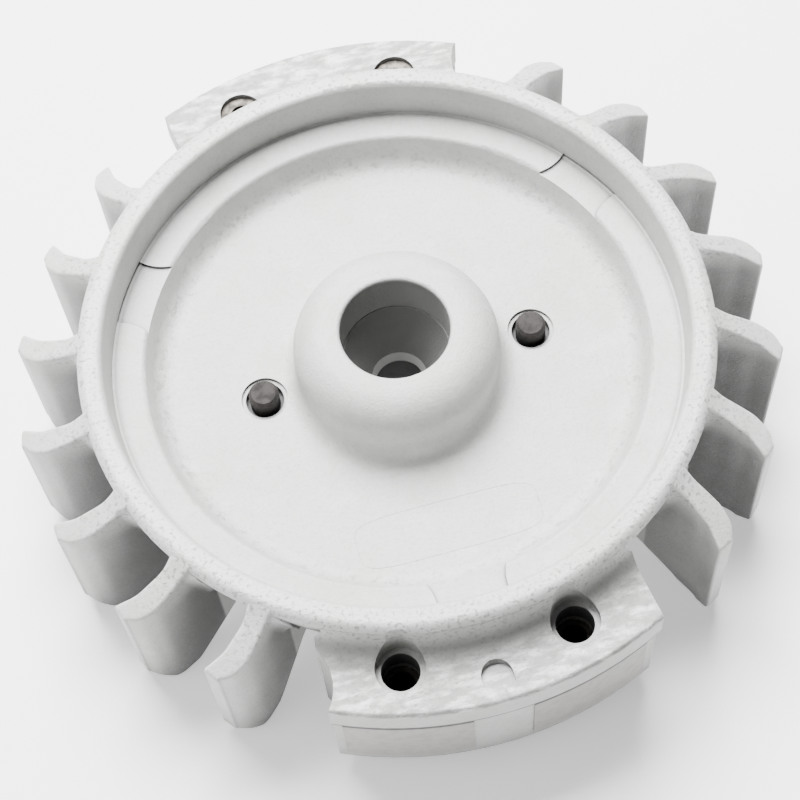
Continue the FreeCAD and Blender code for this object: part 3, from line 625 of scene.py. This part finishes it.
@dataclass
class Casting:
    """The disc casting: its finish, and the low marks that the die left on the web."""

    web_height: float = -10.0 * MM
    ridge: float = 0.05 * MM
    mark_middle: tuple[float, float] = (0.1 * MM, -24.4 * MM)
    mark_half_length: float = 12.1 * MM
    mark_half_width: float = 3.55 * MM

    def dress(self, material: bpy.types.Material) -> None:
        """Give both of the casting's nodes its finish."""
        set_material("flywheel_disc", material)
        set_material("fan_blades", material)

    def web_mark(self, material: bpy.types.Material) -> bpy.types.Object:
        """Low ridge round a long panel on the web.

        Its path is a superellipse of power 5, |x/a|^5 + |y/b|^5 = 1, which is a rectangle with round
        corners, and a half-sunk tube follows it.

        Args:
            material: The casting's finish.

        Returns:
            The ridge.
        """
        turn = np.linspace(0, 2 * math.pi, 161)
        power = 2.0 / 5.0
        along = self.mark_half_length * np.sign(np.cos(turn)) * np.abs(np.cos(turn)) ** power
        across = self.mark_half_width * np.sign(np.sin(turn)) * np.abs(np.sin(turn)) ** power
        path = np.stack([along, across, np.zeros_like(turn)], axis=1)
        path = path + np.array([*self.mark_middle, self.web_height])
        vertices, faces = tube_mesh(path, np.full(len(path), self.ridge), 8)
        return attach(make_piece("web_mark", vertices, faces, material), "root")


@dataclass
class Fan:
    """The fourteen blades, in two runs of seven on a pitch of a twenty-second of a turn."""

    pitch: float = 360.0 / 22.0
    first: float = 128.28
    each_side: int = 7
    rounding: float = 0.42 * MM
    fillet: float = 1.7 * MM
    end_rounding: float = 0.35 * MM
    # Plan of a blade in millimetres: distance out, then across. Hollow side, then round side.
    hollow: tuple = ((31.0, 1.9), (37.5, 2.2), (43.6, 2.25), (47.3, 1.55), (49.68, 0.2))
    crowned: tuple = ((31.0, 4.4), (37.5, 4.8), (43.0, 5.05), (46.9, 4.95), (49.2, 4.0), (50.13, 2.6))
    # Top and bottom edges in millimetres: distance from the axis, then height.
    top: tuple = ((31.0, -13.1), (35.2, -13.0), (37.6, -10.9), (40.2, -0.6), (41.0, -0.35),
                  (42.2, -1.25), (43.5, -2.1), (50.7, -5.7))
    bottom: tuple = ((31.0, -19.5), (36.6, -22.0), (44.2, -27.6), (47.9, -27.6), (50.7, -24.4))
    # The rim's outside in millimetres: height, then distance from the axis.
    skirt: tuple = ((-13.4, 36.2), (-11.2, 38.6), (0.0, 41.9))
    # The fillet grows in above its foot and fades out towards the blade's top, in millimetres.
    fillet_foot: tuple = (-14.5, 1.1)
    fillet_top: tuple = (-0.8, 2.2)
    fillet_least: float = 0.12
    end_lean: float = -0.25
    window: int = 61
    samples: int = 400
    stations: int = 110
    end_steps: int = 6

    def side(self, points: tuple, share: np.ndarray) -> np.ndarray:
        """Smooth line through the points of one side, by a quadratic blend of straight runs.

        The runs are sampled by their share of the length, then averaged over a short window.

        Args:
            points: Plan points in millimetres.
            share: Shares of the length, 0 to 1.

        Returns:
            Points in millimetres.
        """
        line = np.array(points)
        length = np.concatenate([[0], np.cumsum(np.linalg.norm(np.diff(line, axis=0), axis=1))])
        fine = np.linspace(0, 1, self.samples)
        path = np.stack([np.interp(fine * length[-1], length, line[:, i]) for i in (0, 1)], axis=1)
        window = np.hanning(self.window)
        window /= window.sum()
        half = len(window) // 2
        ahead = 2 * path[-1] - path[-2:-half - 2:-1]
        behind = 2 * path[0] - path[half:0:-1]
        padded = np.concatenate([behind, path, ahead])
        eased = np.stack([np.convolve(padded[:, i], window, "valid") for i in (0, 1)], axis=1)
        return np.stack([np.interp(share, fine, eased[:, i]) for i in (0, 1)], axis=1)

    def blade(self) -> tuple:
        """One blade lying along +X.

        Each station along the blade is a rectangle with round corners, between the hollow side and the
        crowned side and between the bottom edge and the top edge. Past the last station the rectangle
        shrinks by r (1 - cos a) while it moves out by r sin a, which rounds the blade's end. Where the
        blade meets the rim it widens by R - sqrt(R^2 - (R - d)^2), d being the distance from the rim. This
        fillet fades out below the rim and near the blade's top.

        Returns:
            Vertices and faces.
        """
        share = np.linspace(0, 1, self.stations)
        hollow = self.side(self.hollow, share) * MM
        crowned = self.side(self.crowned, share) * MM
        bend = np.linspace(0, math.pi / 2, self.end_steps + 1)[1:]
        ahead = np.array([1.0, self.end_lean])
        ahead /= np.linalg.norm(ahead)
        out = self.end_rounding * np.sin(bend)[:, None] * ahead
        hollow = np.concatenate([hollow, hollow[-1] + out])
        crowned = np.concatenate([crowned, crowned[-1] + out])
        shrink = np.concatenate([np.zeros(self.stations), self.end_rounding * (1 - np.cos(bend))])
        turn, corner = self.section()
        width = np.linalg.norm(crowned - hollow, axis=1)
        across = (crowned - hollow) / width[:, None]
        half = (width / 2 - shrink)[:, None]
        flat = (corner[:, 0][None] * (half - self.rounding)) + self.rounding * np.cos(turn)[None]
        spot = ((hollow + crowned) / 2)[:, None] + flat[:, :, None] * across[:, None]
        radius = np.linalg.norm(spot, axis=2) / MM
        high = np.interp(radius, *np.array(self.top).T) * MM - shrink[:, None]
        low = np.interp(radius, *np.array(self.bottom).T) * MM + shrink[:, None]
        middle, reach = (high + low) / 2, (high - low) / 2
        rise = self.rounding * np.sin(turn)[None]
        level = middle + corner[:, 1][None] * (reach - self.rounding) + rise
        rim = np.interp(level / MM, *np.array(self.skirt).T) * MM
        proud = np.hypot(spot[..., 0], spot[..., 1]) - rim
        inset = self.fillet - np.clip(proud, 0, self.fillet)
        flare = self.fillet - np.sqrt(self.fillet ** 2 - inset ** 2)
        foot, foot_fade = self.fillet_foot
        crest, crest_fade = self.fillet_top
        flare *= np.clip((level / MM - foot) / foot_fade, 0, 1)
        flare *= np.clip((crest - level / MM) / crest_fade, self.fillet_least, 1)
        spot = spot + (flare * corner[:, 0][None])[:, :, None] * across[:, None]
        body = np.concatenate([spot, level[:, :, None]], axis=2).reshape(-1, 3)
        rows, columns = len(spot), len(turn)
        faces = grid_faces(rows, columns).tolist()
        last = (rows - 1) * columns
        faces += [list(range(columns - 1, -1, -1)), list(range(last, last + columns))]
        return body, faces

    def section(self) -> tuple:
        """Angles round a rectangle with round corners, and the corner that each belongs to.

        Seven angles round each corner, then more shares of each side, closer together on the tall ones.

        Returns:
            Angles, and corner signs that run from -1 to 1 along the long sides.
        """
        turns, corners = [], []
        order = ((1, 1), (-1, 1), (-1, -1), (1, -1))
        for index, (x, y) in enumerate(order):
            arc = np.linspace(index, index + 1, 7) * math.pi / 2
            turns.append(arc)
            corners.append(np.tile((x, y), (7, 1)).astype(float))
            x_next, y_next = order[(index + 1) % 4]
            run = np.linspace(0, 1, 34 if y != y_next else 7)[1:-1, None]
            turns.append(np.full(len(run), (index + 1) * math.pi / 2))
            corners.append((1 - run) * (x, y) + run * (x_next, y_next))
        return np.concatenate(turns), np.concatenate(corners)

    def build(self, material: bpy.types.Material) -> None:
        """Make every blade as a piece of its own, in place of the frame's plain ones."""
        vertices, faces = self.blade()
        count = 0
        for side in (0.0, 180.0):
            for place in range(self.each_side):
                count += 1
                spot = turned(vertices, self.first + side + place * self.pitch)
                piece = make_piece("fan_blade_%02d" % count, spot, faces, material)
                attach(piece, "root")
                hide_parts("fan_blades")


@dataclass
class PawlSpring:
    """Torsion spring of one pawl: post leg, coil round the bush, and a leg that lies over the pawl."""

    letter: str
    turn: float
    pivot: float = 18.4 * MM
    coil_radius: float = 3.75 * MM
    wire: float = 0.3 * MM
    pitch: float = 0.8 * MM
    top: float = -14.45 * MM
    whole_turns: int = 2
    arm: tuple[float, float] = (18.65 * MM, 9.2 * MM)
    post_start: float = 0.3 * MM
    post_reach: float = 8.5 * MM
    bend_from: float = 3.4 * MM
    bend_to: float = 6.5 * MM

    def path(self) -> np.ndarray:
        """Line of the wire: a straight leg, a helix and a straight leg.

        The helix is (r cos a, r sin a, pitch a / 2 pi), and the legs leave along its tangents.

        Returns:
            Points along the wire.
        """
        reach = np.array([self.arm[0] - self.pivot, self.arm[1]])
        length = np.linalg.norm(reach)
        start = math.atan2(reach[1], reach[0]) + math.acos(self.coil_radius / length)
        sweep = 2 * math.pi * self.whole_turns + (1.5 * math.pi - start)
        climb = self.pitch / (2 * math.pi)
        turn = start + np.linspace(0, sweep, 90)
        low = self.top - climb * sweep
        helix = np.stack([self.coil_radius * np.cos(turn), self.coil_radius * np.sin(turn),
                          low + climb * (turn - start)], axis=1)
        foot = np.array([reach[0], reach[1], low])
        leg = helix[0] + (foot - helix[0]) * np.linspace(0.96, 0.04, 24)[:, None]
        reach_out = np.linspace(self.post_start, self.post_reach, 16)[:, None]
        post = helix[-1] + np.array([1.0, 0.0, 0.0]) * reach_out
        line = np.concatenate([leg, helix, post])
        return turned(line + np.array([self.pivot, 0.0, 0.0]), self.turn)

    def build(self, material: bpy.types.Material) -> None:
        """Make the spring as one piece, in place of the frame's own spring."""
        line = self.path()
        vertices, faces = tube_mesh(line, np.full(len(line), self.wire))
        piece = make_piece("pawl_spring_wire_" + self.letter, vertices, faces, material)
        start = turned(np.array([[self.pivot, self.bend_from, 0.0]]), self.turn)[0]
        end = turned(np.array([[self.pivot, self.bend_to, 0.0]]), self.turn)[0]
        tuple(start)
        tuple(end)
        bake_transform(piece)
        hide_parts("pawl_spring_" + self.letter)


def set_material(node: str, material: bpy.types.Material) -> None:
    """Give a node of the frame one material in all its slots."""
    slots = frame["nodes"][node].material_slots
    for slot in slots:
        slot.material = material
    LOG.info("%s: %s", node, material.name)


# ------------------------------------------------------------------ studio

@dataclass
class Studio:
    """Camera, soft lights and a plain pale floor."""

    camera_place: tuple[float, float, float] = (-21.75 * MM, -123.03 * MM, 225.98 * MM)
    azimuth: float = -9.9
    elevation: float = 63.14
    roll: float = -5.92
    lens: float = 90.0
    floor_drop: float = 0.2 * MM
    floor_half: float = 1.2
    world_strength: float = 0.10
    key_place: tuple[float, float, float] = (-0.01, 0.33, 0.51)
    key_size: float = 0.42
    key_power: float = 25.5
    fill_place: tuple[float, float, float] = (-0.42, -0.05, 0.40)
    fill_size: float = 0.4
    fill_power: float = 1.8
    floor_glow: float = 0.6

    def camera(self) -> None:
        """Camera that looks down at the elevation, turned by the azimuth and rolled."""
        tilt, roll = math.radians(self.elevation), math.radians(self.roll)
        spin = Matrix.Rotation(math.radians(self.azimuth), 3, "Z")
        ahead = spin @ Vector((0, math.cos(tilt), -math.sin(tilt)))
        level = spin @ Vector((1, 0, 0))
        down = ahead.cross(level)
        right = math.cos(roll) * level - math.sin(roll) * down
        up = -(math.sin(roll) * level + math.cos(roll) * down)
        data = bpy.data.cameras.new("camera")
        data.lens = self.lens
        data.clip_start = 0.01
        data.clip_end = 20.0
        camera = bpy.data.objects.new("camera", data)
        axes = Matrix((right, up, -ahead)).transposed().to_4x4()
        camera.matrix_world = Matrix.Translation(self.camera_place) @ axes
        bpy.context.scene.collection.objects.link(camera)
        bpy.context.scene.camera = camera

    def light(self, name: str, place: tuple, size: float, power: float) -> None:
        """Square area light that faces the wheel.

        Args:
            name: Its name.
            place: Where it stands.
            size: Length of a side.
            power: Watts.
        """
        data = bpy.data.lights.new(name, "AREA")
        data.size = size
        data.energy = power
        lamp = bpy.data.objects.new(name, data)
        lamp.location = place
        lamp.rotation_euler = (-Vector(place)).to_track_quat("-Z", "Y").to_euler()
        bpy.context.scene.collection.objects.link(lamp)

    def world(self, strength: float) -> None:
        """Even white surroundings."""
        world = bpy.data.worlds.new("surroundings")
        world.use_nodes = True
        ground = world.node_tree.nodes["Background"]
        ground.inputs["Color"].default_value = (1.0, 1.0, 1.0, 1.0)
        ground.inputs["Strength"].default_value = strength
        bpy.context.scene.world = world

    def floor(self) -> None:
        """Pale floor just under the lowest blade."""
        level = CAD_BOX[0][2] - self.floor_drop
        half = self.floor_half
        corners = np.array([(-half, -half, level), (half, -half, level),
                            (half, half, level), (-half, half, level)])
        graph = Graph("pale_floor", (0.9, 0.9, 0.9))
        paint = graph.finish((0.90, 0.90, 0.90), 0.9, 0.0, graph.noise(4 * MM), 0.005 * MM)
        graph.plug(graph.shader.inputs["Emission Color"], (1.0, 1.0, 1.0, 1.0))
        graph.plug(graph.shader.inputs["Emission Strength"], self.floor_glow)
        mesh = bpy.data.meshes.new("floor")
        mesh.from_pydata(corners.tolist(), [], [[0, 1, 2, 3]])
        mesh.materials.append(paint)
        ground = bpy.data.objects.new("floor", mesh)
        bpy.context.scene.collection.objects.link(ground)

    def build(self) -> None:
        """Set the whole studio up."""
        self.camera()
        self.world(self.world_strength)
        self.light("key", self.key_place, self.key_size, self.key_power)
        self.light("fill", self.fill_place, self.fill_size, self.fill_power)
        self.floor()


def main() -> None:
    """Build the sub-assemblies in order."""
    logging.basicConfig(level=logging.INFO, format="%(message)s")
    Studio().build()
    cast = CAST.material()
    steels = {slot: finish.material() for slot, finish in STEELS.items()}
    casting = Casting()
    casting.dress(cast)
    casting.web_mark(cast)
    Fan().build(cast)
    for letter, turn in (("a", 0.0), ("b", 180.0)):
        PawlSpring(letter, turn).build(steels["spring_wire"])
    for subpart in frame["record"]["subparts"]:
        if subpart["material_slot"] in steels:
            set_material(subpart["node"], steels[subpart["material_slot"]])


if __name__ == "__main__":
    main()
